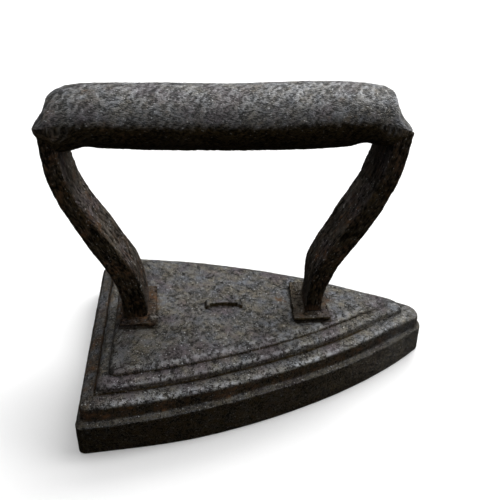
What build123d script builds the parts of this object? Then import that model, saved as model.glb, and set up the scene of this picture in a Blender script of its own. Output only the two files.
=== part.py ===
from build123d import *
from math import asin, atan2, cos, pi, sin, sqrt
import os

# A small sad iron: a moulded cast body, two S-shaped strap legs and a grip rolled from plate.
# The nose points along +X, the sole lies on Z = 0, and Y = 0 is the plane of symmetry.

# Body casting
HALF_WIDTH = 44.8            # at the heel, which is the widest place
HEEL_ANGLE = 0.051           # how far the sides already turn inwards at the heel, in radians
REAR_TURN = 0.324            # how far the rear arc of each side turns, in radians
REAR_RADIUS = 266.0
FRONT_RADIUS = 220.0
HEEL_CORNER = 2.2            # radius of the two upright corners
WALL_HEIGHT = 12.3
TOP_HEIGHT = 24.1
# The body's sections, from the sole up: height, distance in from the wall, radius at the nose
SECTIONS = [
    (0.0, 0.0, 4.2),
    (WALL_HEIGHT, 0.0, 5.9),
    (WALL_HEIGHT + 0.5, 2.3, 5.2),
    (17.7, 3.3, 5.0),
    (20.4, 4.9, 4.6),
    (21.3, 6.6, 4.2),
    (23.1, 8.6, 3.8),
    (TOP_HEIGHT, 10.6, 3.4),
]

# Plain raised bar, cast on the top
BAR_LENGTH, BAR_WIDTH, BAR_HEIGHT = 14.0, 3.4, 0.9

# Handle: two legs, mirrored about its middle
HANDLE_MIDDLE = 49.7         # forward of the heel
FOOT_REACH = 32.3            # from the handle's middle to the centre of a foot
HEAD_REACH = 53.3            # from the handle's middle to the centre of a leg's head
STRAP_THICKNESS = 6.2
FOOT_WIDTH, HEAD_WIDTH = 14.2, 18.4
FOOT_DEPTH = 8.0             # how deep a foot is set in the casting
LOWER_BEND_HEIGHT, UPPER_BEND_HEIGHT = 38.0, 79.0
BEND_RADIUS = 28.0
TAPER_START, TAPER_END = 28.0, 88.0
HEAD_HEIGHT = 95.0
TANG_LENGTH, TANG_WIDTH, TANG_THICKNESS = 18.0, 9.0, 3.5

# Grip, a plate rolled round the two tangs, with its seam underneath
GRIP_AXIS_HEIGHT = 96.4
GRIP_MIDDLE_RADIUS, GRIP_END_RADIUS = 9.9, 9.3
GRIP_REACH = 57.3            # from the handle's middle to the end of the grip
BORE_RADIUS = 7.0
CAP_HEIGHT = 103.6           # top of the part that is forged down over a leg's head
CAP_ROUNDING = 4.0
SEAM_WIDTH = 0.8

# Rectangular collars round the feet
COLLAR_LENGTH, COLLAR_WIDTH, COLLAR_THICKNESS = 12.4, 23.0, 1.6
COLLAR_REACH = 31.3          # from the handle's middle to the centre of a collar

SPARE = 5.0                  # how far a cutting tool runs past what it cuts


def arc_point(centre, radius, angle):
    """The point of an arc at an angle measured from +Y towards +X."""
    return centre[0] + radius * sin(angle), centre[1] + radius * cos(angle)


def arc(centre, radius, start, end):
    return ThreePointArc(*[arc_point(centre, radius, a) for a in (start, (start + end) / 2, end)])


def outline(inset, nose_radius):
    """The body's plan, heel at X = 0: two tangent arcs a side, a round nose and a straight heel."""
    rear_centre = (-REAR_RADIUS * sin(HEEL_ANGLE), HALF_WIDTH - REAR_RADIUS * cos(HEEL_ANGLE))
    join = HEEL_ANGLE + REAR_TURN
    meet = arc_point(rear_centre, REAR_RADIUS, join)
    front_centre = (meet[0] - FRONT_RADIUS * sin(join), meet[1] - FRONT_RADIUS * cos(join))
    rear_radius, front_radius = REAR_RADIUS - inset, FRONT_RADIUS - inset

    nose_reach = sqrt((front_radius - nose_radius) ** 2 - front_centre[1] ** 2)
    nose_centre = (front_centre[0] + nose_reach, 0)
    nose_angle = atan2(nose_reach, -front_centre[1])
    heel_angle = asin((inset - rear_centre[0]) / rear_radius)

    left = [
        arc(rear_centre, rear_radius, heel_angle, join),
        arc(front_centre, front_radius, join, nose_angle),
    ]
    nose = arc(nose_centre, nose_radius, nose_angle, pi - nose_angle)
    right = [mirror(edge, Plane.XZ) for edge in left]
    heel = Line(left[0] @ 0, right[0] @ 0)
    face = make_face([*left, nose, *right, heel])
    return fillet(face.vertices().sort_by(Axis.X)[:2], HEEL_CORNER)


def body_length():
    """From the heel to the nose, which reaches furthest at the sole."""
    height, inset, nose_radius = SECTIONS[0]
    return outline(inset, nose_radius).bounding_box().max.X


# The origin is under the middle of the whole iron, and the grip reaches out behind the heel.
GRIP_START = HANDLE_MIDDLE - GRIP_REACH
HEEL_X = -(GRIP_START + body_length()) / 2
MIDDLE_X = HEEL_X + HANDLE_MIDDLE


def leg_side_view():
    """The front strap seen from the side, from its foot to its head, with the handle's middle at X = 0."""
    line = FilletPolyline(
        (FOOT_REACH, TOP_HEIGHT - FOOT_DEPTH),
        (FOOT_REACH, LOWER_BEND_HEIGHT),
        (HEAD_REACH, UPPER_BEND_HEIGHT),
        (HEAD_REACH, HEAD_HEIGHT),
        radius=BEND_RADIUS,
    )
    down, up = [
        line.offset_2d(STRAP_THICKNESS / 2, side=side, closed=False)
        for side in (Side.LEFT, Side.RIGHT)
    ]
    ends = [Line(down @ 1, up @ 0), Line(up @ 1, down @ 0)]
    return make_face([*down.edges(), *up.edges(), *ends])


def leg_front_view():
    """The strap seen from the front: upright sides at its foot and head, and a taper between."""
    foot, head = FOOT_WIDTH / 2, HEAD_WIDTH / 2
    left = [(foot, 0), (foot, TAPER_START), (head, TAPER_END), (head, HEAD_HEIGHT + SPARE)]
    right = [(-y, z) for y, z in reversed(left)]
    return make_face(Polyline(*left, *right, close=True))


def front_leg():
    """A strap that widens from its foot to its head, with a thinner tang turned into the grip."""
    strap = extrude(Plane.XZ * leg_side_view(), HEAD_WIDTH, both=True)
    strap &= extrude(Plane.YZ * leg_front_view(), HEAD_REACH + SPARE, both=True)
    tang = Pos(HEAD_REACH, 0, HEAD_HEIGHT) * Box(
        STRAP_THICKNESS / 2 + TANG_LENGTH,
        TANG_WIDTH,
        TANG_THICKNESS,
        align=(Align.MAX, Align.CENTER, Align.MAX),
    )
    return Pos(MIDDLE_X, 0, 0) * (strap + tang)


def to_rear(shape):
    """The same piece at the handle's other end."""
    return mirror(shape, Plane.YZ.offset(MIDDLE_X))


def sole_casting(legs):
    sections = [
        Pos(HEEL_X, 0, height) * outline(inset, nose_radius)
        for height, inset, nose_radius in SECTIONS
    ]
    body = loft(sections, ruled=True)
    bar = Pos(MIDDLE_X, 0, TOP_HEIGHT) * extrude(
        SlotOverall(BAR_LENGTH, BAR_WIDTH), BAR_HEIGHT
    )
    body += bar
    for leg in legs:
        body -= leg
    return body


def foot_collar(leg):
    collar = Pos(MIDDLE_X + COLLAR_REACH, 0, TOP_HEIGHT) * Box(
        COLLAR_LENGTH, COLLAR_WIDTH, COLLAR_THICKNESS, align=(Align.CENTER, Align.CENTER, Align.MIN)
    )
    top_edges = collar.edges().group_by(Axis.Z)[-1]
    return chamfer(top_edges, COLLAR_THICKNESS / 4) - leg


def grip_cap():
    """The end of the grip that is forged down over the front leg's head."""
    inner = HEAD_REACH - STRAP_THICKNESS / 2
    cap = Pos(inner, 0, HEAD_HEIGHT) * Box(
        GRIP_REACH - inner,
        HEAD_WIDTH,
        CAP_HEIGHT - HEAD_HEIGHT,
        align=(Align.MIN, Align.CENTER, Align.MIN),
    )
    upper = cap.edges().group_by(Axis.Z)[-1].sort_by(Axis.X)
    return fillet(upper[1:], CAP_ROUNDING)


def grip_shell():
    """A barrel that is a little thicker in its middle, hollow between the legs, with a cap at each end."""
    inner = HEAD_REACH - STRAP_THICKNESS / 2
    crown = ThreePointArc((-inner, GRIP_END_RADIUS), (0, GRIP_MIDDLE_RADIUS), (inner, GRIP_END_RADIUS))
    walls = [
        Line((-inner, BORE_RADIUS), (-inner, GRIP_END_RADIUS)),
        Line((inner, BORE_RADIUS), (inner, GRIP_END_RADIUS)),
        Line((-inner, BORE_RADIUS), (inner, BORE_RADIUS)),
    ]
    tube = Pos(0, 0, GRIP_AXIS_HEIGHT) * revolve(make_face([crown, *walls]), Axis.X)
    seam = Pos(0, 0, GRIP_AXIS_HEIGHT) * Box(
        2 * inner, SEAM_WIDTH, 2 * GRIP_MIDDLE_RADIUS, align=(Align.CENTER, Align.CENTER, Align.MAX)
    )
    shell = tube - seam
    cap = grip_cap()
    shell += [cap, mirror(cap, Plane.YZ)]
    return Pos(MIDDLE_X, 0, 0) * shell


front = front_leg()
rear = to_rear(front)
front_collar = foot_collar(front)
parts = {
    "sole_casting": sole_casting([front, rear]),
    "front_leg": front,
    "rear_leg": rear,
    "front_foot_collar": front_collar,
    "rear_foot_collar": to_rear(front_collar),
    "grip_shell": grip_shell(),
}

os.makedirs("parts", exist_ok=True)
for name, shape in parts.items():
    export_step(shape, f"parts/{name}.step")
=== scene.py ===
from math import atan2, cos, pi, radians, sin, sqrt, tan

import bmesh
import bpy
import numpy as np
from mathutils import Matrix, Vector, noise


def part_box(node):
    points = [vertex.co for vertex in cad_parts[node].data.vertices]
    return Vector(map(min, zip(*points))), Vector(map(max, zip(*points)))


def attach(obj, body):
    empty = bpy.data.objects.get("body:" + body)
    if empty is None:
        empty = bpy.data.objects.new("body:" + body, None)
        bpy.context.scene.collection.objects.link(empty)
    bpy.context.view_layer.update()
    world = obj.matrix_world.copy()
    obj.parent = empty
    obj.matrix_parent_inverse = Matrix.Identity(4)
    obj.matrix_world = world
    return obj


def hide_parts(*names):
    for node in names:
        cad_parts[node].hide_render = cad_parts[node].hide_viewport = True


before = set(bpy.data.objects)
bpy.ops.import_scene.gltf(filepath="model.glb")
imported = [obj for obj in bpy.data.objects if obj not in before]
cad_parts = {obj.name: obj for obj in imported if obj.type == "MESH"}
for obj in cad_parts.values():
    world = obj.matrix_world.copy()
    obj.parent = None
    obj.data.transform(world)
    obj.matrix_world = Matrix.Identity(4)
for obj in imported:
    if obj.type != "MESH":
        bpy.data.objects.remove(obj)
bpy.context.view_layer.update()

# An old sad iron: a pitted cast body with a stepped moulding, two forged legs and a rolled grip.
# Shapes are worked out in millimetres, in the frame's own axes, and scaled to metres as meshes.

MM = 0.001


def box_mm(node):
    return [np.array(corner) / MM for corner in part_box(node)]


# ---------------------------------------------------------------- sizes, from the frame

GRIP_LOW, GRIP_HIGH = box_mm("grip_shell")
HEEL_X = box_mm("sole_casting")[0][0]
TOP_Z = box_mm("front_foot_collar")[0][2]
MIDDLE_X = (GRIP_LOW[0] + GRIP_HIGH[0]) / 2
FOOT_Z = box_mm("front_leg")[0][2]
GRIP_REACH = GRIP_HIGH[0] - MIDDLE_X

# The body's outline, as in the CAD: two arcs a side, which turn in from the heel
HALF_WIDTH, HEEL_ANGLE, REAR_TURN = 44.8, 0.051, 0.324
REAR_RADIUS, FRONT_RADIUS = 266.0, 220.0
WALL_HEIGHT = 12.3

# The strap legs
STRAP_THICKNESS, FOOT_WIDTH, HEAD_WIDTH = 6.2, 14.2, 18.4
FOOT_REACH, HEAD_REACH = 32.3, 53.3
LOWER_BEND_Z, UPPER_BEND_Z, HEAD_Z = 38.0, 79.0, 95.0
TAPER_Z = (28.0, 88.0)
# Each collar: how lumpy it is, how far its inner edge is out of square, its spare length and shift
COLLARS = {"front": (0.4, 0.1, 0.35, 0.9), "rear": (1.6, 0.04, 0.2, 0.0)}

# ---------------------------------------------------------------- noise


def fractal(points, size, octaves=3, seed=0.0):
    """Fractal noise from about -1 to 1, with features of that size, in the points' unit."""
    shift = Vector((seed * 17.3, seed * 5.9, seed * 11.1))
    at = np.asarray(points) / size
    values = (noise.fractal(Vector(p) + shift, 0.9, 2.0, octaves) for p in at)
    return np.fromiter(values, float, len(at))


def pits(points, size, share=0.5, seed=0.0):
    """From 0 on the surface to 1 at the bottom of a pit. A share of the cells holds a pit."""
    shift = Vector((seed * 13.7, seed * 3.1, seed * 7.7))
    found = np.zeros(len(points))
    for i, p in enumerate(np.asarray(points) / size):
        distances, features = noise.voronoi(Vector(p) + shift)
        if noise.cell(features[0] * 91.7) < share:
            found[i] = 1 - distances[0] / 0.55
    return np.clip(found, 0, 1) ** 1.5


def smoothstep(low, high, values):
    t = np.clip((values - low) / (high - low), 0, 1)
    return t * t * (3 - 2 * t)


# ---------------------------------------------------------------- meshes


def mesh_from_rings(name, rings, flow=None, closed_along=False):
    """A closed mesh over rings of points, each ring closed. Points that meet are joined."""
    rings = np.asarray(rings, float)
    count, around = rings.shape[:2]
    last = count if closed_along else count - 1
    i, j = np.meshgrid(np.arange(last), np.arange(around), indexing="ij")
    i2, j2 = (i + 1) % count, (j + 1) % around
    quads = np.stack([i * around + j, i * around + j2, i2 * around + j2, i2 * around + j], -1)
    mesh = bpy.data.meshes.new(name)
    mesh.from_pydata((rings.reshape(-1, 3) * MM).tolist(), [], quads.reshape(-1, 4).tolist())
    if flow is not None:
        layer = mesh.attributes.new("flow", "FLOAT_VECTOR", "POINT")
        layer.data.foreach_set("vector", (np.asarray(flow) * MM).astype(np.float32).ravel())
    weld(mesh)
    obj = bpy.data.objects.new(name, mesh)
    bpy.context.scene.collection.objects.link(obj)
    return obj


def weld(mesh):
    bm = bmesh.new()
    bm.from_mesh(mesh)
    bmesh.ops.remove_doubles(bm, verts=bm.verts, dist=0.0005 * MM)
    bmesh.ops.dissolve_degenerate(bm, edges=bm.edges, dist=0.0002 * MM)
    bmesh.ops.recalc_face_normals(bm, faces=bm.faces)
    bm.to_mesh(mesh)
    bm.free()
    mesh.polygons.foreach_set("use_smooth", [True] * len(mesh.polygons))


def read(mesh, what):
    values = np.zeros(len(mesh.vertices) * 3, np.float32)
    mesh.vertices.foreach_get(what, values)
    return values.reshape(-1, 3).astype(float)


def read_flow(mesh):
    values = np.zeros(len(mesh.vertices) * 3, np.float32)
    mesh.attributes["flow"].data.foreach_get("vector", values)
    return values.reshape(-1, 3).astype(float) / MM


def displace(obj, offset):
    """Moves each vertex along its normal, by an offset in millimetres."""
    mesh = obj.data
    moved = read(mesh, "co") + read(mesh, "normal") * np.asarray(offset)[:, None] * MM
    mesh.vertices.foreach_set("co", moved.astype(np.float32).ravel())
    mesh.update()


def paint(obj, **layers):
    """Writes one number a vertex for each named layer, for the material to read."""
    for name, values in layers.items():
        layer = obj.data.attributes.new(name, "FLOAT", "POINT")
        layer.data.foreach_set("value", np.asarray(values, np.float32))


def finish_piece(obj, node, slot, *materials):
    for material in materials:
        obj.data.materials.append(material)
    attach(obj, "root")
    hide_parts(node)


# ---------------------------------------------------------------- body casting


def arc_points(centre, radius, start, end, count):
    """Points of an arc, at angles measured from +Y towards +X."""
    angles = np.linspace(start, end, count)
    return np.stack([centre[0] + radius * np.sin(angles), centre[1] + radius * np.cos(angles)], 1)


def outline_arcs():
    """The centres of a side's two arcs, from the heel, and the angle at which they meet."""
    join = HEEL_ANGLE + REAR_TURN
    rear = (-REAR_RADIUS * sin(HEEL_ANGLE), HALF_WIDTH - REAR_RADIUS * cos(HEEL_ANGLE))
    meet = (rear[0] + REAR_RADIUS * sin(join), rear[1] + REAR_RADIUS * cos(join))
    front = (meet[0] - FRONT_RADIUS * sin(join), meet[1] - FRONT_RADIUS * cos(join))
    return rear, front, join, meet[0]


def distance_in(at):
    """How far each point lies inside the body's outline, seen from above."""
    rear, front, _, meet_x = outline_arcs()
    x, y = at[:, 0] - HEEL_X, np.abs(at[:, 1])
    rear_side = REAR_RADIUS - np.hypot(x - rear[0], y - rear[1])
    front_side = FRONT_RADIUS - np.hypot(x - front[0], y - front[1])
    return np.minimum(x, np.where(x < meet_x, rear_side, front_side))


# Points along each stretch of half the outline
HEEL_POINTS, CORNER_POINTS, REAR_POINTS, FRONT_POINTS, NOSE_POINTS = 78, 8, 158, 84, 17
NOSE_LENGTH = 11        # how much of the nose its stretch draws out


def body_ring(inset, nose_radius, corner_radius=2.2):
    """The body's closed outline, moved in by inset: heel, corner, arcs and nose, then mirrored."""
    rear, front, join, _ = outline_arcs()
    corner_x = inset + corner_radius
    span = REAR_RADIUS - inset - corner_radius
    corner = (corner_x, rear[1] + sqrt(span**2 - (corner_x - rear[0]) ** 2))
    corner_end = atan2(corner[0] - rear[0], corner[1] - rear[1])

    nose_reach = sqrt((FRONT_RADIUS - inset - nose_radius) ** 2 - front[1] ** 2)
    nose_start = atan2(nose_reach, -front[1])

    heel = np.stack([np.full(HEEL_POINTS, inset), np.linspace(0, corner[1], HEEL_POINTS)], 1)
    half = np.vstack([
        heel,
        arc_points(corner, corner_radius, -pi / 2, corner_end, CORNER_POINTS)[1:],
        arc_points(rear, REAR_RADIUS - inset, corner_end, join, REAR_POINTS)[1:],
        arc_points(front, FRONT_RADIUS - inset, join, nose_start, FRONT_POINTS)[1:],
        arc_points((front[0] + nose_reach, 0), nose_radius, nose_start, pi / 2, NOSE_POINTS)[1:],
    ])
    half[-1, 1] = 0
    tip = half[-1, 0]
    half[:, 0] += nose_stretch(inset) * smoothstep(tip - NOSE_LENGTH, tip, half[:, 0])
    ring = np.vstack([half, half[-2:0:-1] * (1, -1)])
    return ring + (HEEL_X, 0)


def nose_stretch(inset):
    """The casting's point is drawn out: by a little at the wall, and by more on the mouldings."""
    return SOLE_STRETCH + MOULDING_STRETCH * min(inset / FULL_STRETCH_INSET, 1)


def flared(plan, height):
    """Along its sides, but not at the heel or the nose, the sole is wider than the wall's top."""
    x = plan[:, 0] - HEEL_X
    along = smoothstep(*FLARE_RISE, x) * smoothstep(*FLARE_FADE, x)
    out = SOLE_FLARE * along * max(1 - height / WALL_HEIGHT, 0)
    side = np.clip(plan[:, 1] / FLARE_MIDDLE, -1, 1)
    return plan + np.stack([0 * out, out * side], 1)


def evenly(points, step):
    """The same line with points a step apart, its corners a little eased as if worn."""
    points = np.asarray(points, float)
    lengths = np.concatenate([[0], np.cumsum(np.linalg.norm(np.diff(points, axis=0), axis=1))])
    at = np.linspace(0, lengths[-1], int(lengths[-1] / step) + 1)
    line = np.stack([np.interp(at, lengths, points[:, k]) for k in range(points.shape[1])], 1)
    line[1:-1] = (line[:-2] + 2 * line[1:-1] + line[2:]) / 4
    return line


# The moulding's section, from the sole up: distance in from the wall, and height
MOULDING = [
    (0.45, 0.0), (0.12, 0.12), (0.0, 0.45),
    (0.0, WALL_HEIGHT - 0.3), (0.1, WALL_HEIGHT - 0.05), (0.35, WALL_HEIGHT + 0.1),
    (0.8, WALL_HEIGHT + 0.2), (1.15, WALL_HEIGHT + 0.45), (1.35, WALL_HEIGHT + 0.9),
    (1.5, 14.2), (1.7, 16.8), (1.85, 17.9), (2.1, 18.5), (2.6, 18.9),
    (3.4, 19.2), (4.3, 19.5), (5.2, 19.8), (5.75, 19.9), (6.1, 19.55), (6.4, 20.0),
    (6.6, 21.0), (6.9, 21.75), (7.5, 22.3), (8.4, 22.7), (9.4, 22.75), (10.0, 22.6),
    (10.2, 22.8), (10.35, 23.5), (10.75, TOP_Z - 0.12), (11.4, TOP_Z),
]
SECTION_STEP = 0.42
# Where the section's parts lie: heights above the sole, or distances in from the wall
CROWN_Z, BEAD_Z, STEP_Z, GROOVE_INSET, RIM_INSET = 18.7, 21.9, 23.1, 6.1, 12.3
SOLE_STRETCH, MOULDING_STRETCH, FULL_STRETCH_INSET = 1.5, 1.3, 3
# The sole's flare, how wide it fades across the nose, and from where to where it comes and goes
SOLE_FLARE, FLARE_MIDDLE = 1.2, 6
FLARE_RISE, FLARE_FADE = (6, 42), (131, 118)
# The ledge rises along the sides, and the moulding drops a little at the nose
LEDGE_LIFT, LIFT_X, LIFT_LENGTH, LIFT_BAND = 0.9, 62, 32, 3.0
NOSE_DROP, DROP_X, DROP_Z = 1.0, (106, 127), (16, 19)
NOSE_RADII = ([0.0, 2.5, 11.2], [5.9, 5.2, 3.4])     # against the distance in
SOLE_NOSE_RADIUS = 4.2


def nose_radius(inset, height):
    above = np.interp(inset, *NOSE_RADII)
    return SOLE_NOSE_RADIUS + (above - SOLE_NOSE_RADIUS) * min(height / WALL_HEIGHT, 1)


SPINE_ENDS = (30, 3)    # how far a spine stops short of the heel and of the nose


def filled(ring, height, count, closer=1.0):
    """Rings from an outline in to a spine on the body's middle line, closer together near it."""
    start = ring[:, 0].min() + SPINE_ENDS[0]
    end = ring[:, 0].max() - SPINE_ENDS[1]
    spine = np.stack([np.clip(ring[:, 0], start, end), 0 * ring[:, 0]], 1)
    rings = []
    for left in np.linspace(1, 0, count + 1)[1:]:
        plan = spine + (ring - spine) * left**closer
        rings.append(np.column_stack([plan, np.full(len(plan), height)]))
    return rings


ROUGH_HEEL = (12, 5)    # distances from the heel over which the mouldings turn rougher


def make_casting():
    section = evenly(MOULDING, SECTION_STEP)
    rings = []
    for inset, height in section:
        plan = flared(body_ring(inset, nose_radius(inset, height)), height)
        along = plan[:, 0] - HEEL_X
        lift = LEDGE_LIFT * bell(along, LIFT_X, LIFT_LENGTH) * bell(height, WALL_HEIGHT, LIFT_BAND)
        drop = NOSE_DROP * smoothstep(*DROP_X, along) * smoothstep(*DROP_Z, height)
        rings.append(np.column_stack([plan, height + lift - drop]))
    top = filled(rings[-1][:, :2], TOP_Z, count=58, closer=1.3)
    sole = filled(rings[0][:, :2], 0.0, count=12)
    obj = mesh_from_rings("body_casting", [*sole[::-1], *rings, *top])

    at, normal = read(obj.data, "co") / MM, read(obj.data, "normal")
    up, height = normal[:, 2], at[:, 2]
    wall = smoothstep(WALL_HEIGHT + 0.2, WALL_HEIGHT - 0.5, height)
    sole_face = smoothstep(0.6, 0.0, height)
    top_face = smoothstep(TOP_Z - 0.4, TOP_Z, height)
    rough = 1 - 0.75 * wall

    slow = fractal(at, 16, 2, 1)
    lumps = fractal(at, 3.5, 2, 2)
    heel = smoothstep(*ROUGH_HEEL, at[:, 0] - HEEL_X) * (height > WALL_HEIGHT)
    coarse = fractal(at, 1.4, 3, 3)
    fine = fractal(at, 0.8, 2, 4)
    holes = pits(at, 1.3, 0.4, 5)
    streaks = fractal(at * (1, 1, 0.16), 0.9, 2, 6)
    relief = 0.12 * slow + (0.09 + 0.12 * heel) * lumps
    relief += rough * (1 + 0.5 * heel) * (0.08 * coarse + 0.06 * fine - 0.12 * holes)
    relief += 0.04 * wall * streaks
    relief *= 1 - sole_face
    displace(obj, relief + bar_height(at) * top_face)

    paint(
        obj,
        height=np.clip(0.5 + 0.5 * (coarse + 0.6 * fine) - 0.6 * holes, 0, 1),
        stain=body_stain(at, coarse, slow),
        polish=body_polish(at, lumps),
        soot=body_soot(at, up, coarse, lumps),
        dust=body_dust(at, up, coarse, lumps),
    )
    return obj


def plate_outside(name, at):
    """How far each point is outside a foot's collar, seen from above."""
    low, high = box_mm(f"{name}_foot_collar")
    shift = COLLARS[name][3]
    along = np.abs(at[:, 0] - (low[0] + high[0]) / 2 - shift) - (high[0] - low[0]) / 2
    across = np.abs(at[:, 1]) - (high[1] - low[1]) / 2
    return np.hypot(np.clip(along, 0, None), np.clip(across, 0, None))


# The bar: half its length and width, its bow, how much wider its ends are, and its height
BAR_REACH, BAR_HALF_WIDTH, BAR_BOW, BAR_END, BAR_HEIGHT = 6.3, 0.8, 0.8, 0.9, 1.3
BAR_BOW_REACH, BAR_END_FROM, BAR_SLOPE = 7, (4.9, 6.0), (0.7, 0.2)


def bar_outside(at):
    """How far each point is outside the plain bar on the top, half way between the legs."""
    x = at[:, 0] - MIDDLE_X
    middle = BAR_BOW * (1 - (x / BAR_BOW_REACH) ** 2)
    across = np.abs(at[:, 1] - middle) - BAR_HALF_WIDTH
    across -= BAR_END * smoothstep(*BAR_END_FROM, np.abs(x))
    return np.hypot(np.clip(across, 0, None), np.clip(np.abs(x) - BAR_REACH, 0, None))


def bar_height(at):
    return BAR_HEIGHT * smoothstep(*BAR_SLOPE, bar_outside(at))


def bell(values, middle, width):
    return np.exp(-(((values - middle) / width) ** 2))


# Rust round the feet, -1 the rear one and 1 the front: how far in front of the foot and across it
# each patch lies, how much it is squashed across, how wide it is and how strong
FOOT_RUST = (
    (-1, -1.0, 2, 0.7, 12, 1.1), (1, -8.5, 3, 1.0, 5, 0.75), (1, 8.5, 3, 1.0, 5, 0.85),
)


def body_stain(at, coarse, slow):
    """Rust: on the moulding's upright face, along the heel and round the feet."""
    height = at[:, 2]
    face = smoothstep(WALL_HEIGHT + 0.8, WALL_HEIGHT + 2, height)
    face *= smoothstep(CROWN_Z - 0.2, CROWN_Z - 2.2, height)
    feet = np.zeros(len(at))
    for side, ahead, across, squash, reach, strength in FOOT_RUST:
        x = at[:, 0] - MIDDLE_X - side * FOOT_REACH - ahead
        away = np.hypot(x, (at[:, 1] - across) * squash)
        feet += strength * smoothstep(reach, reach * 0.4, away) * (height > TOP_Z - 1)
    heel = smoothstep(11, 4, at[:, 0] - HEEL_X) * (height > WALL_HEIGHT)
    rust = 0.42 * face + 0.75 * feet + 0.35 * heel + 0.08
    return np.clip(rust * (1 + 0.9 * coarse + 0.7 * slow), 0, 1)


def body_polish(at, lumps):
    """Bright edges: the moulding's worn crown, the worn bead below the top, and the top's own rim
    on the near side, which is partly wear and partly a painted highlight.
    """
    height = at[:, 2]
    crown = 0.95 * bell(height, CROWN_Z, 0.45) + 0.6 * bell(height, BEAD_Z, 0.4)
    # The rim is kept to the near side: partly wear, partly a painted highlight
    rim = 0.55 * bell(distance_in(at), RIM_INSET, 1.2) * (height > TOP_Z - 0.6) * (at[:, 1] < 0)
    along = at[:, 0] - HEEL_X
    wear = smoothstep(6, 16, along) * (1 - 0.6 * smoothstep(65, 110, along)) * (0.65 + 0.7 * lumps)
    return np.clip((crown + rim) * wear, 0, 1)


def body_soot(at, up, coarse, lumps):
    """Darkening: painted shade in the grooves, on the step's riser and on whatever faces sideways,
    painted shadow along the near sides of the bar and of the collars, and a thin dark layer over
    the near, rear part of the top.
    """
    height, along = at[:, 2], at[:, 0] - HEEL_X
    on_top = height > TOP_Z - 1
    # Painted shade down in the grooves and on the step's riser, fading towards the nose
    groove_and_step_shade = 1.2 * bell(distance_in(at), GROOVE_INSET, 0.3) * (height < 20.4)
    groove_and_step_shade += 1.2 * bell(height, STEP_Z, 0.45) * (up < 0.75)
    groove_and_step_shade += 0.25 * smoothstep(19.0, 19.8, height) * smoothstep(20.6, 20.1, height)
    groove_and_step_shade *= smoothstep(112, 96, along)
    # Painted shade on whatever faces sideways, less of it towards the nose
    upright = smoothstep(0.5, 0.12, up) * (0.9 + 0.3 * coarse - 0.5 * smoothstep(90, 125, along))
    # A thin dark layer over the near, rear part of the top
    rear_layer_and_seam_shadow = smoothstep(8, -14, at[:, 1]) * smoothstep(45, 15, along) * (height > TOP_Z - 0.4)
    rear_layer_and_seam_shadow *= 0.3 + 0.2 * coarse
    # Painted shadow along the bar's near side
    outside = bar_outside(at)
    bar = bell(outside, 0.5, 0.4) * (outside > 0.02) * on_top
    bar *= smoothstep(3, -0.3, at[:, 1])
    # Painted shadow round each collar, on its near side only
    for name in COLLARS:
        seam = bell(plate_outside(name, at), 0.35, 0.5) * on_top
        rear_layer_and_seam_shadow = np.maximum(rear_layer_and_seam_shadow, seam * smoothstep(4, -4, at[:, 1]))
    # Painted shade, from the grooves and from the sideways faces
    shade_in_grooves_and_sides = np.maximum(groove_and_step_shade * (1 + 0.4 * coarse + 0.3 * lumps), upright)
    return np.clip(np.maximum(shade_in_grooves_and_sides, np.maximum(rear_layer_and_seam_shadow, 1.2 * bar)), 0, 1)


def body_dust(at, up, coarse, lumps):
    """Pale dust: on the ledge, and on the wall towards the point."""
    height, along = at[:, 2], at[:, 0] - HEEL_X
    ledge = smoothstep(0.3, 0.75, up) * bell(height, WALL_HEIGHT + 0.6, 1.4)
    wall = 0.85 * smoothstep(55, 125, along) * (height < WALL_HEIGHT) * smoothstep(0, 6, height)
    return np.clip(ledge * (0.85 + 0.5 * coarse + 0.3 * lumps) + wall * (0.8 + coarse), 0, 1)


# ---------------------------------------------------------------- swept pieces


def rounded_path(points, radii, step):
    """A line through the points with its corners rounded by tangent arcs."""
    points = [np.array(p, float) for p in points]
    path = [points[0]]
    for before, corner, after, radius in zip(points, points[1:], points[2:], radii):
        into = (corner - before) / np.linalg.norm(corner - before)
        out = (after - corner) / np.linalg.norm(after - corner)
        turn = atan2(into[0] * out[1] - into[1] * out[0], into @ out)
        reach = radius * tan(abs(turn) / 2)
        side = np.array([-into[1], into[0]]) * (1 if turn > 0 else -1)
        start = corner - into * reach
        for share in np.linspace(0, 1, 24):
            angle = abs(turn) * share
            path.append(start + radius * (sin(angle) * into + (1 - cos(angle)) * side))
    path.append(points[-1])
    return evenly(path, step)


# Steps round each corner of a strap's section, and along its wide and its narrow sides
CORNER_STEPS, WIDE_STEPS, NARROW_STEPS = 5, 46, 16


def strap_section(half_thickness, half_width, corner):
    """A closed rectangle with round corners: points across the thickness and across the width."""
    a, b = half_thickness - corner, half_width - corner
    # Each corner's centre and first angle, and the steps along the side that leads to it
    corners = [
        (a, b, 0, WIDE_STEPS), (-a, b, pi / 2, NARROW_STEPS),
        (-a, -b, pi, WIDE_STEPS), (a, -b, 3 * pi / 2, NARROW_STEPS),
    ]
    points = []
    for (x, y, start, _), following in zip(corners, corners[1:] + corners[:1]):
        angles = np.linspace(start, start + pi / 2, CORNER_STEPS + 1)
        points += [(x + corner * cos(t), y + corner * sin(t)) for t in angles]
        first = np.array(points[-1])
        next_x, next_y, angle, steps = following
        target = np.array([next_x + corner * cos(angle), next_y + corner * sin(angle)])
        points += [tuple(first + (target - first) * k / steps) for k in range(1, steps)]
    return np.array(points)


END_SCALES = (0, 0.25, 0.5, 0.75, 0.9)     # the rings that close a strap's end


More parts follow.
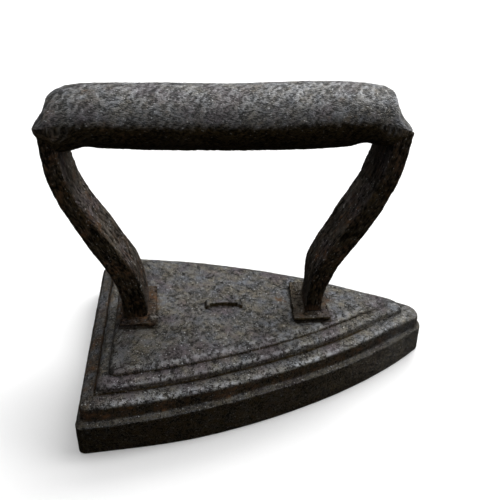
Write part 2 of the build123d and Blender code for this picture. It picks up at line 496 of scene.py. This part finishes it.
def strap_rings(path, section_at, side):
    """Rings of a strap along a path in XZ, its ends closed, and where each point lies on it."""
    tangents = np.gradient(path, axis=0)
    tangents /= np.linalg.norm(tangents, axis=1)[:, None]
    lengths = np.concatenate([[0], np.cumsum(np.linalg.norm(np.diff(path, axis=0), axis=1))])
    rings, flow = [], []

    def add(k, scale):
        section = section_at(path[k], lengths[k]) * scale
        normal = np.array([tangents[k][1], -tangents[k][0]])
        plan = path[k] + section[:, :1] * normal
        rings.append(np.column_stack([MIDDLE_X + side * plan[:, 0], section[:, 1], plan[:, 1]]))
        flow.append(np.column_stack([section, np.full(len(section), lengths[k])]))

    for scale in END_SCALES:
        add(0, scale)
    for k in range(len(path)):
        add(k, 1)
    for scale in END_SCALES[::-1]:
        add(len(path) - 1, scale)
    return rings, flow


# Each leg as forged: the radii of its two bends, and its thickness against the height
FORGING_Z = (26, 36, 55, 70, 82, 92)
FORGED = {
    "front": ((49.0, 60.0), (6.3, 6.4, 7.5, 6.8, 6.1, 6.0)),
    "rear": ((42.0, 42.0), (8.7, 8.5, 7.5, 5.9, 5.5, 5.8)),
}
STRAP_STEP, STRAP_CORNER = 0.42, 1.2
HEAD_RELIEF = 0.3       # each side of a leg's head, inside the grip's skirt
# How far a leg bows out between its bends, at what height and over what length
BOWS, BOW_Z, BOW_LENGTH = {"front": 0.0, "rear": 0.75}, 65, 15
# The front foot is a little out of square: how far it leans to the nose, and by how much across
FOOT_LEANS = {"front": (0.4, 0.12), "rear": (0.0, 0.0)}
LEAN_Z = (43, 29)       # the lean starts at the first height and is whole at the second
# How unevenly a leg was hammered: shares of its thickness and width, and lengths between changes
THICKNESS_VARIES, WIDTH_VARIES, THICKNESS_WAVE, WIDTH_WAVE = 0.07, 0.04, 9, 14


def foot_lean(name, y):
    shift, skew = FOOT_LEANS[name]
    return shift + skew * (y + FOOT_WIDTH / 2)


def make_leg(name, side, seed):
    """A forged strap that widens upwards. side is 1 for the front leg and -1 for the rear one."""
    radii, thicknesses = FORGED[name]
    path = rounded_path(
        [
            (FOOT_REACH, FOOT_Z),
            (FOOT_REACH, LOWER_BEND_Z),
            (HEAD_REACH, UPPER_BEND_Z),
            (HEAD_REACH, HEAD_Z - 0.2),
        ],
        radii,
        STRAP_STEP,
    )
    path[:, 0] += BOWS[name] * bell(path[:, 1], BOW_Z, BOW_LENGTH)

    def section_at(point, length):
        width = np.interp(point[1], TAPER_Z, (FOOT_WIDTH, HEAD_WIDTH)) / 2
        hammered = noise.noise(Vector((length / THICKNESS_WAVE, seed * 7.7, 0)))
        drawn = noise.noise(Vector((length / WIDTH_WAVE, seed * 3.3, 5)))
        free = smoothstep(27, 34, point[1]) * smoothstep(HEAD_Z - 2, HEAD_Z - 12, point[1])
        width -= HEAD_RELIEF * smoothstep(78, 88, point[1])
        thickness = np.interp(point[1], FORGING_Z, thicknesses) / 2
        thickness *= 1 + THICKNESS_VARIES * hammered * free
        return strap_section(thickness, width * (1 + WIDTH_VARIES * drawn * free), STRAP_CORNER)

    rings, flow = strap_rings(path, section_at, side)
    rings = np.array(rings)
    rings[..., 0] += foot_lean(name, rings[..., 1]) * smoothstep(*LEAN_Z, rings[..., 2])
    obj = mesh_from_rings(f"{name}_strap", rings, flow)

    lie = read_flow(obj.data)
    at, upright = read(obj.data, "co") / MM, read(obj.data, "normal")[:, 1]
    fibres = fractal(lie * (1, 1, 0.13) + (0, 0, seed * 40), 1.3, 3, seed)
    scale = fractal(at, 1.3, 3, seed + 1)
    dents = fractal(at, 7, 2, seed + 2)
    holes = pits(at, 1.6, 0.35, seed + 3)
    buried = smoothstep(TOP_Z + 1.5, TOP_Z, at[:, 2])
    relief = 0.2 * dents + 0.16 * fibres + 0.12 * scale - 0.16 * holes
    displace(obj, relief * (1 - buried))

    rust = 0.4 + 0.6 * fractal(at, 6, 3, seed + 4) + 0.45 * scale
    rust += 0.4 * smoothstep(TOP_Z + 8, TOP_Z + 2, at[:, 2])
    paint(
        obj,
        height=np.clip(0.5 + 0.35 * (scale + fibres) - 0.6 * holes, 0, 1),
        stain=np.clip(rust, 0, 1),
        polish=np.clip(0.3 + 0.6 * dents, 0, 1) * 0.5,
        # Painted shade on the narrow edges, which face along Y
        soot=smoothstep(0.3, 0.9, np.abs(upright)) * (0.85 + 0.3 * scale),
        dust=np.clip(0.3 + 0.7 * dents, 0, 1) * 0.3,
    )
    return obj


# ---------------------------------------------------------------- grip


# The grip was bent by hand: the height of its widest line and its radius, along the frame's X
LINE_X = (-68, -62, -55, -30, -11, 5, 15, 25, 32, 38, 43, 48, 54)
LINE_Z = (95.3, 95.8, 96.4, 96.3, 96.2, 96.9, 97.5, 97.9, 98.0, 96.9, 95.5, 94.8, 94.2)
RADIUS_X = (-50, -30, -11, 10, 35)
RADII = (9.6, 10.1, 10.2, 10.3, 9.4)
# Its ends flare out into a skirt over each leg's head: the share of the radius that its dome has,
# its half width and the drop of its lower edge, against the distance from the tip
END_DISTANCES = (0.0, 0.7, 1.5, 2.5, 3.5, 4.5, 6.0, 8.5, 12.0, 18.0)
DOMES = {
    "rear": (0.05, 0.12, 0.22, 0.4, 0.7, 0.78, 0.86, 0.94, 0.96, 1.0),
    "front": (0.1, 0.17, 0.23, 0.33, 0.45, 0.62, 0.95, 1.0, 0.98, 1.0),
}
WIDTH_DISTANCES = (0.0, 1.0, 2.5, 6.0, 14.0)
HALF_WIDTHS = {"rear": (8.2, 9.2, 9.35, 9.45, 9.6), "front": (7.2, 8.8, 9.2, 9.4, 9.5)}
SKIRT_DISTANCES = (0.0, 1.4, 3.0, 5.5, 7.5, 12.5, 18.0)
SKIRTS = {"rear": (2.2, 4.0, 5.4, 8.5, 8.5, 8.5, 9.3), "front": (1.6, 2.5, 3.5, 5.4, 6.6, 7.8, 9.2)}
# How much lower than round the barrel hangs, along the frame's X
SAG_X = (-50, -38, -11, 3, 12, 23, 32, 40, 48)
SAGS = (0.0, 0.5, 0.5, 1.0, 1.3, 1.1, 0.5, 0.9, 0.3)
TIPS = {"rear": GRIP_REACH - 0.3, "front": GRIP_REACH - 1.2}


def grip_section(side, distance, angles):
    """A closed section: a dome above its widest line, and below it a side squarer near the end."""
    end = "front" if side > 0 else "rear"
    x = MIDDLE_X + side * (TIPS[end] - distance)
    line, radius = np.interp(x, LINE_X, LINE_Z), np.interp(x, RADIUS_X, RADII)
    dome = radius * np.interp(distance, END_DISTANCES, DOMES[end])
    width = min(radius, np.interp(distance, WIDTH_DISTANCES, HALF_WIDTHS[end]))
    width += (radius - width) * smoothstep(10, 24, distance)
    drop = min(radius, np.interp(distance, SKIRT_DISTANCES, SKIRTS[end]))
    drop += np.interp(x, SAG_X, SAGS)
    power = 2 / (5 - 3 * smoothstep(5, 15, distance))
    across, up = np.cos(angles), np.sin(angles)
    low_across = np.sign(across) * np.abs(across) ** power
    low = -drop * np.abs(up) ** power
    y = width * np.where(up >= 0, across, low_across)
    z = line + np.where(up >= 0, dome * up, low)
    return np.column_stack([np.full(len(angles), x), y, z])


GRIP_AROUND, GRIP_RADIUS = 216, 10      # points round the barrel, and its mean radius
# Sections over each end and on to the middle, and where each run of them ends and starts
END_SECTIONS, MIDDLE_SECTIONS, END_RUN, MIDDLE_RUN = 34, 136, 9, 9.35
CAP_SCALES = (0.0, 0.3, 0.6, 0.85)      # the rings that close an end
# The hammer's marks lean from the barrel's length, and are longer than they are wide
HAMMER_LEAN, HAMMER_STRETCH = radians(-40), 2.2
SEAM_WIDTH, SEAM_DEPTH = 0.45, 0.9      # where the rolled sheet's edges meet, underneath


def grip_half(side, tip, angles):
    """Sections from an end to the middle, closer together over the end."""
    end = np.linspace(0, END_RUN, END_SECTIONS)
    middle = np.linspace(MIDDLE_RUN, tip, MIDDLE_SECTIONS)
    return [grip_section(side, distance, angles) for distance in (*end, *middle)]


def make_grip():
    """A sheet rolled into a barrel round the legs' heads, pitted all over by the hammer."""
    angles = np.linspace(-pi / 2, 3 * pi / 2, GRIP_AROUND, endpoint=False)
    rear = grip_half(-1, TIPS["rear"], angles)
    front = grip_half(1, TIPS["front"], angles)
    rings = [*rear, *front[-2::-1]]
    first, last = rings[0], rings[-1]
    front_cap = [last.mean(0) + (last - last.mean(0)) * scale for scale in CAP_SCALES[::-1]]
    rear_cap = [first.mean(0) + (first - first.mean(0)) * scale for scale in CAP_SCALES]
    rings = np.array([*rear_cap, *rings, *front_cap])
    around = np.broadcast_to((angles - pi / 2) * GRIP_RADIUS, rings.shape[:2])
    flow = np.stack([rings[..., 0], around, 0 * around], -1)
    obj = mesh_from_rings("grip_barrel", rings, flow)

    at, normal, lie = read(obj.data, "co") / MM, read(obj.data, "normal"), read_flow(obj.data)
    turned = hammered(lie)
    slow = fractal(at, 13, 2, 21)
    blows = fractal(turned, 1.9, 3, 22)
    coarse = fractal(turned, 0.9, 3, 23)
    fine = fractal(at, 0.6, 2, 24)
    holes = pits(turned, 1.2, 0.5, 25)
    relief = 0.12 * slow + 0.05 * blows + 0.11 * coarse + 0.06 * fine - 0.14 * holes
    seam = bell(at[:, 1], 0, SEAM_WIDTH) * smoothstep(-0.9, -0.98, normal[:, 2])
    displace(obj, relief - SEAM_DEPTH * seam)

    rust = 0.15 + 0.35 * fractal(at, 8, 3, 26) + 0.3 * coarse
    paint(
        obj,
        height=np.clip(0.5 + 0.4 * (coarse + 0.5 * fine) + 0.15 * blows - 0.5 * holes, 0, 1),
        stain=np.clip(rust, 0, 1),
        # Lighter where it faces up: a painted highlight
        polish=smoothstep(0.1, 0.8, normal[:, 2]) * np.clip(0.25 + 0.3 * coarse, 0, 1),
        # Darker where it faces down: painted shade
        soot=smoothstep(0.22, -0.08, normal[:, 2] + 0.1 * coarse),
        dust=np.clip(0.1 + 0.5 * slow, 0, 1) * 0.4,
    )
    return obj


def hammered(lie):
    """Flow coordinates turned and stretched, for marks that run down and forward."""
    c, s = cos(HAMMER_LEAN), sin(HAMMER_LEAN)
    turned = np.array(lie)
    turned[:, 0] = (c * lie[:, 0] + s * lie[:, 1]) / HAMMER_STRETCH
    turned[:, 1] = c * lie[:, 1] - s * lie[:, 0]
    return turned


# ---------------------------------------------------------------- foot collars


def collar_ring(half_length, half_width, corner, height, centre, skew=0.0):
    """A level rectangle round a foot. Skew turns its rear side out of square."""
    plan = strap_section(half_length, half_width, corner)
    x = MIDDLE_X + centre + plan[:, 0] + skew * plan[:, 1] * (plan[:, 0] < 0)
    return np.column_stack([x, plan[:, 1], np.full(len(plan), height)])


PLATE_CORNER, HOLE_CORNER, HOLE_GAP = 0.8, 0.6, 0.05
PLATE_DEPTH = 0.3       # how far a collar's underside is sunk in the casting
PLATE_STEP, PLATE_RINGS = 0.25, 18      # up a collar's outside, and across its top
COLLAR_RUST = {"front": 0.12, "rear": 0.85}
# The rear collar's one big lump: where it is from the centre, how broad and how high it is
LUMP_X, LUMP_Y, LUMP_RADIUS, LUMP_HEIGHT = 5.2, -9.0, 2.2, 1.4
WASTED = 0.8            # how much of the rear collar's near, rear corner has rusted away


def make_collar(name, side, seed):
    """A rectangular plate with worn edges, round a foot and open where the leg passes."""
    lumpy, skew, spare, shift = COLLARS[name]
    low, high = box_mm(f"{name}_foot_collar")
    half_length, half_width = (high[0] - low[0]) / 2 + spare, (high[1] - low[1]) / 2
    centre = (low[0] + high[0]) / 2 - MIDDLE_X + shift
    hole = (STRAP_THICKNESS / 2 + HOLE_GAP, FOOT_WIDTH / 2 + HOLE_GAP, HOLE_CORNER)
    bottom, top = TOP_Z - PLATE_DEPTH, high[2]
    outside = [
        (0.5, bottom), (0.35, bottom + 0.5), (0.1, bottom + 0.9), (0.0, top - 0.5),
        (0.1, top - 0.15), (0.4, top),
    ]
    rings = [
        collar_ring(half_length - inset, half_width - inset, PLATE_CORNER, height, centre, skew)
        for inset, height in evenly(outside, PLATE_STEP)
    ]
    edge = rings[-1]
    inner_top = collar_ring(*hole, top, side * FOOT_REACH)
    inner_bottom = collar_ring(*hole, bottom, side * FOOT_REACH)
    for ring in (inner_top, inner_bottom):
        ring[:, 0] += foot_lean(name, ring[:, 1])
    rings += [edge + (inner_top - edge) * share for share in np.linspace(0, 1, PLATE_RINGS)[1:]]
    rings += [inner_top + (inner_bottom - inner_top) * share for share in (0.5, 1.0)]
    rings += [inner_bottom + (rings[0] - inner_bottom) * share for share in (0.3, 0.7)]
    obj = mesh_from_rings(f"{name}_foot_plate", rings, closed_along=True)

    at, up = read(obj.data, "co") / MM, read(obj.data, "normal")[:, 2]
    x, y = at[:, 0] - MIDDLE_X - centre, at[:, 1]
    coarse = fractal(at, 1.4, 3, seed)
    slow = fractal(at, 4, 2, seed + 1)
    relief = lumpy * (0.3 * slow + 0.15 * coarse) - 0.12 * pits(at, 1.5, 0.5, seed + 2)
    lump = 0
    if name == "rear":
        away = np.hypot(x - LUMP_X, y - LUMP_Y)
        lump = smoothstep(LUMP_RADIUS, LUMP_RADIUS / 3, away) * (up > 0.1)
        relief += LUMP_HEIGHT * lump
        relief -= WASTED * smoothstep(-2, -8, y) * smoothstep(3, -3, x)
    displace(obj, relief)
    rust = np.clip(COLLAR_RUST[name] + 0.5 * slow + 0.4 * coarse, 0, 1)
    paint(
        obj,
        height=np.clip(0.5 + 0.5 * coarse, 0, 1),
        stain=rust * (1 - lump),
        polish=np.maximum(np.clip(0.1 + 0.3 * slow, 0, 1), 0.4 * lump),
        # Painted shade on the sides, over a thin layer of dirt, and none on the lump
        soot=np.clip(1.2 * smoothstep(0.9, 0.5, up) + 0.25 + 0.5 * slow, 0, 1) * (1 - lump),
        dust=np.clip(0.2 + 0.6 * coarse, 0, 1) * 0.5,
    )
    return obj


# ---------------------------------------------------------------- materials


class Shader:
    """A material under construction: each method adds a node and gives back its output."""

    def __init__(self, name, flow=False):
        self.material = bpy.data.materials.new(name)
        self.material.use_nodes = True
        self.tree = self.material.node_tree
        self.tree.nodes.clear()
        if flow:
            lie = self.node("ShaderNodeAttribute")
            lie.attribute_name = "flow"
            self.coordinates = lie.outputs["Vector"]
        else:
            self.coordinates = self.node("ShaderNodeTexCoord").outputs["Object"]

    def node(self, kind, **inputs):
        made = self.tree.nodes.new(kind)
        for name, value in inputs.items():
            self.put(made.inputs[name], value)
        return made

    def put(self, socket, value):
        if isinstance(value, bpy.types.NodeSocket):
            self.tree.links.new(value, socket)
        else:
            socket.default_value = value

    def layer(self, name):
        made = self.node("ShaderNodeAttribute")
        made.attribute_name = name
        return made.outputs["Fac"]

    def stretched(self, x, y, z, turn=0.0):
        """Coordinates in millimetres, each divided by a stretch."""
        made = self.node("ShaderNodeMapping", Vector=self.coordinates)
        made.inputs["Scale"].default_value = (1 / (x * MM), 1 / (y * MM), 1 / (z * MM))
        made.inputs["Rotation"].default_value = (0, 0, turn)
        return made.outputs["Vector"]

    def evenly_scaled(self, size):
        return self.stretched(size, size, size)

    def noise(self, vector, detail=3.0, roughness=0.6):
        made = self.node("ShaderNodeTexNoise", Vector=vector, Scale=1.0, Detail=detail)
        made.inputs["Roughness"].default_value = roughness
        return made.outputs["Fac"]

    def cells(self, vector):
        made = self.node("ShaderNodeTexVoronoi", Vector=vector, Scale=1.0)
        return made.outputs["Distance"]

    def scaled(self, value, from_low, from_high, to_low=0.0, to_high=1.0):
        made = self.node("ShaderNodeMapRange", Value=value)
        for name, number in zip(
            ("From Min", "From Max", "To Min", "To Max"), (from_low, from_high, to_low, to_high)
        ):
            made.inputs[name].default_value = number
        return made.outputs["Result"]

    def math(self, operation, a, b=0.0):
        made = self.node("ShaderNodeMath")
        made.operation = operation
        self.put(made.inputs[0], a)
        self.put(made.inputs[1], b)
        return made.outputs["Value"]

    def mix(self, share, a, b):
        made = self.node("ShaderNodeMix")
        made.data_type = "RGBA"
        self.put(made.inputs["Factor"], share)
        for socket, value in ((made.inputs[6], a), (made.inputs[7], b)):
            self.put(socket, value if isinstance(value, bpy.types.NodeSocket) else (*value, 1))
        return made.outputs[2]

    def bump(self, height, distance, strength=1.0, under=None):
        made = self.node("ShaderNodeBump", Height=height)
        made.inputs["Distance"].default_value = distance * MM
        made.inputs["Strength"].default_value = strength
        if under is not None:
            self.put(made.inputs["Normal"], under)
        return made.outputs["Normal"]

    def surface(self, colour, roughness, normal, **others):
        inputs = {"Base Color": colour, "Roughness": roughness, "Normal": normal, **others}
        made = self.node("ShaderNodeBsdfPrincipled", **inputs)
        output = self.node("ShaderNodeOutputMaterial")
        self.tree.links.new(made.outputs["BSDF"], output.inputs["Surface"])
        return self.material


# Each iron: dark in its pits, cool and warm shades of its surface, and bright where worn and in
# painted highlights
CAST_IRON = (
    (0.018, 0.0172, 0.016), (0.148, 0.156, 0.172), (0.172, 0.155, 0.123), (0.36, 0.375, 0.39),
)
FORGED_IRON = (
    (0.01, 0.008, 0.006), (0.07, 0.062, 0.055), (0.1, 0.078, 0.055), (0.2, 0.18, 0.16),
)
COLLAR_IRON = (
    (0.012, 0.01, 0.008), (0.08, 0.075, 0.07), (0.1, 0.08, 0.058), (0.25, 0.24, 0.23),
)
GRIP_IRON = (
    (0.045, 0.045, 0.045), (0.165, 0.173, 0.19), (0.188, 0.172, 0.145), (0.4, 0.41, 0.42),
)
PURPLE = (0.115, 0.094, 0.104)      # some patches of the surface
# Painted glints: the colour of the bright specks
GLINT = (0.6, 0.62, 0.63)
# Layers over the iron, from dark to light
# The first pair is the colour of soot, and also of painted shade and shadow
SOOT_AND_SHADE = ((0.005, 0.0035, 0.0015), (0.034, 0.0238, 0.0105))
RUST = ((0.012, 0.006, 0.003), (0.06, 0.03, 0.013), (0.115, 0.052, 0.019))
DUST = ((0.018, 0.015, 0.01), (0.075, 0.064, 0.046))
EDGE = (0.4, 0.4, 0.4, 1.0)         # worn iron hardly brightens at its edges
METALLIC, METALLIC_UNDER_RUST, IRON_IOR = 0.92, 0.25, 1.45
ROUGHNESS = (0.34, 0.6)             # of the texture's darkest and of its lightest parts
# Sizes in millimetres
TINT_SIZE, MOTTLE_SIZE, PATCH_SIZE, GLINT_SPECK_SIZE = 5, 9, 15, 0.9


def iron(name, shades, grain, stretch, turn=0.0, flow=False, relief=1.0):
    """Old iron. Its colour is its reflection, from near black in the pits to bright where worn and
    in painted highlights.

    The mesh says where it is stained with rust, worn, given a painted highlight, sooty, given
    painted shade and dusty. grain is the size of its texture in millimetres, drawn out by stretch,
    and relief scales its bumps.
    """
    dark, cool, warm, bright = shades
    s = Shader(name, flow)
    height, stain, polish = s.layer("height"), s.layer("stain"), s.layer("polish")
    size = np.array(stretch) * grain
    mottle = s.noise(s.evenly_scaled(MOTTLE_SIZE), 4)
    medium = s.noise(s.stretched(*size, turn), 4, 0.65)
    fine = s.noise(s.stretched(*(size * 0.5), turn), 2, 0.7)
    tint = s.noise(s.evenly_scaled(TINT_SIZE), 4, 0.7)
    patches = s.noise(s.evenly_scaled(PATCH_SIZE), 3, 0.6)
    glint_specks = s.cells(s.evenly_scaled(GLINT_SPECK_SIZE))

    tone = s.math("ADD", s.math("MULTIPLY", fine, 0.55), s.math("MULTIPLY", medium, 0.45))
    tone = s.math("ADD", s.math("MULTIPLY", tone, 0.8), s.math("MULTIPLY", height, 0.2))
    tone = s.math("ADD", tone, s.scaled(mottle, 0.3, 0.7, -0.04, 0.04))
    shade = s.scaled(tone, 0.415, 0.58)
    light = s.mix(s.scaled(tint, 0.36, 0.62), cool, warm)
    light = s.mix(s.scaled(patches, 0.5, 0.62, 0.0, 0.8), light, PURPLE)
    colour = s.mix(shade, dark, light)
    # Bright where worn, and painted highlights
    worn = s.math("MULTIPLY", polish, s.scaled(s.math("ADD", fine, height), 0.85, 1.12))
    colour = s.mix(worn, colour, bright)

    # Soot, and painted shade and shadow, darken the colour
    colour = s.mix(s.layer("soot"), colour, s.mix(shade, *SOOT_AND_SHADE))

    rusty = s.math("MULTIPLY", stain, s.scaled(tint, 0.4, 0.62, 0.25, 1.3))
    rusty = s.scaled(rusty, 0.2, 0.9, 0.0, 0.9)
    spots = s.scaled(s.math("ADD", tint, mottle), 1.1, 1.25)
    rust = s.mix(spots, s.mix(shade, *RUST[:2]), s.mix(shade, *RUST[1:]))
    colour = s.mix(rusty, colour, rust)

    dusty = s.math("MULTIPLY", s.layer("dust"), s.scaled(medium, 0.36, 0.56))
    colour = s.mix(dusty, colour, s.mix(shade, *DUST))

    # Painted glints: bright specks, fewer on soot and painted shade
    glint = s.math("MULTIPLY", s.scaled(glint_specks, 0.27, 0.15), s.scaled(medium, 0.51, 0.58))
    glint = s.math("MULTIPLY", glint, s.scaled(s.layer("soot"), 0.0, 1.0, 0.6, 0.12))
    colour = s.mix(glint, colour, GLINT)

    matt = s.math("MAXIMUM", rusty, dusty)
    metal = s.scaled(matt, 0.0, 1.0, METALLIC, METALLIC_UNDER_RUST)
    rubbed = s.math("SUBTRACT", tone, s.math("MULTIPLY", worn, 0.1))
    roughness = s.scaled(rubbed, 0.35, 0.65, *ROUGHNESS)
    roughness = s.math("ADD", roughness, s.math("MULTIPLY", matt, 0.15))
    normal = s.bump(medium, 0.5 * grain, 0.9 * relief)
    normal = s.bump(fine, 0.3 * grain, relief, normal)
    others = {"Metallic": metal, "IOR": IRON_IOR, "Specular Tint": EDGE}
    return s.surface(colour, roughness, normal, **others)


# ---------------------------------------------------------------- the object

finish_piece(
    make_casting(), "sole_casting", "cast_body",
    iron("cast_iron_body", CAST_IRON, grain=0.66, stretch=(1, 1, 1)),
)
for name, side, seed in (("front", 1, 31), ("rear", -1, 47)):
    finish_piece(
        make_leg(name, side, seed), f"{name}_leg", "forged_strap",
        iron(f"forged_iron_{name}", FORGED_IRON, grain=0.9, stretch=(1, 1, 3.5), flow=True),
    )
    finish_piece(
        make_collar(name, side, seed + 9), f"{name}_foot_collar", "foot_collar",
        iron(f"collar_iron_{name}", COLLAR_IRON, grain=0.9, stretch=(1, 1, 1)),
    )
finish_piece(
    make_grip(), "grip_shell", "hammered_grip",
    iron("hammered_iron", GRIP_IRON, grain=0.82, stretch=(HAMMER_STRETCH, 1, 1), turn=HAMMER_LEAN,
         flow=True, relief=0.9),
)


# ---------------------------------------------------------------- stage


FLOOR_METRES, FLOOR_SHADES = 30, ((0.86, 0.86, 0.86), (0.88, 0.88, 0.88))


def make_floor():
    """A pale floor that takes the object's shadow, but throws no light back on it."""
    s = Shader("pale_floor")
    shade = s.mix(s.noise(s.evenly_scaled(400), 2), *FLOOR_SHADES)
    material = s.surface(shade, 0.9, s.bump(s.noise(s.evenly_scaled(3)), 0.02))
    bpy.ops.mesh.primitive_plane_add(size=FLOOR_METRES, location=(0, 0, 0))
    floor = bpy.context.object
    floor.name = "floor"
    floor.data.materials.append(material)
    floor.visible_diffuse = floor.visible_glossy = False


# Each light's azimuth and elevation, its spread in degrees and its power
SOFTBOXES = {
    "window": (46, 45, 54, 3.2),
    "window_behind": (90, 45, 54, 0.8),
    "window_right": (0, 12, 50, 2.1),
    "room_left": (180, 45, 60, 0.6),
    "room_front": (-90, 32, 64, 1.0),
    "ceiling": (0, 88, 60, 0.4),
}
WORLD_DIM = 0.06


def add_softbox(name, azimuth, elevation, spread, power):
    """A broad soft light that is the same everywhere. Its azimuth is from +X towards +Y."""
    lamp = bpy.data.lights.new(name, "SUN")
    lamp.angle = radians(spread)
    lamp.energy = power
    obj = bpy.data.objects.new(name, lamp)
    towards = Vector((
        cos(radians(azimuth)) * cos(radians(elevation)),
        sin(radians(azimuth)) * cos(radians(elevation)),
        sin(radians(elevation)),
    ))
    obj.location = towards
    obj.rotation_euler = (-towards).to_track_quat("-Z", "Y").to_euler()
    bpy.context.scene.collection.objects.link(obj)


def make_world():
    """A dim room for the object to reflect, but white where the camera sees past the floor."""
    world = bpy.data.worlds.new("studio")
    bpy.context.scene.world = world
    world.use_nodes = True
    tree = world.node_tree
    tree.nodes.clear()
    dim, white = (tree.nodes.new("ShaderNodeBackground") for _ in range(2))
    dim.inputs["Strength"].default_value = WORLD_DIM
    white.inputs["Color"].default_value = (1, 1, 1, 1)
    rays = tree.nodes.new("ShaderNodeLightPath")
    mix = tree.nodes.new("ShaderNodeMixShader")
    tree.links.new(rays.outputs["Is Camera Ray"], mix.inputs["Fac"])
    tree.links.new(dim.outputs[0], mix.inputs[1])
    tree.links.new(white.outputs[0], mix.inputs[2])
    output = tree.nodes.new("ShaderNodeOutputWorld")
    tree.links.new(mix.outputs[0], output.inputs["Surface"])


# The photograph's view: where the camera looks, from where, and its tilt about its own axis
CAMERA_AZIMUTH, CAMERA_ELEVATION, CAMERA_ROLL = radians(-8.09), radians(31.94), radians(3.18)
CAMERA_DISTANCE, CAMERA_LENS = 192.3, 39.0
CAMERA_TARGET = (HEEL_X + 56.1, 0, 48.3)


def make_camera():
    data = bpy.data.cameras.new("camera")
    data.lens = CAMERA_LENS
    data.clip_start = 0.01
    camera = bpy.data.objects.new("camera", data)
    back = Vector((
        sin(CAMERA_AZIMUTH) * cos(CAMERA_ELEVATION),
        -cos(CAMERA_AZIMUTH) * cos(CAMERA_ELEVATION),
        sin(CAMERA_ELEVATION),
    ))
    place = (Vector(CAMERA_TARGET) + back * CAMERA_DISTANCE) * MM
    aim = (-back).to_track_quat("-Z", "Y").to_matrix().to_4x4()
    camera.matrix_world = Matrix.Translation(place) @ aim @ Matrix.Rotation(CAMERA_ROLL, 4, "Z")
    bpy.context.scene.collection.objects.link(camera)
    bpy.context.scene.camera = camera


make_floor()
for name, settings in SOFTBOXES.items():
    add_softbox(name, *settings)
make_world()
make_camera()
bpy.context.scene.view_settings.view_transform = "Standard"
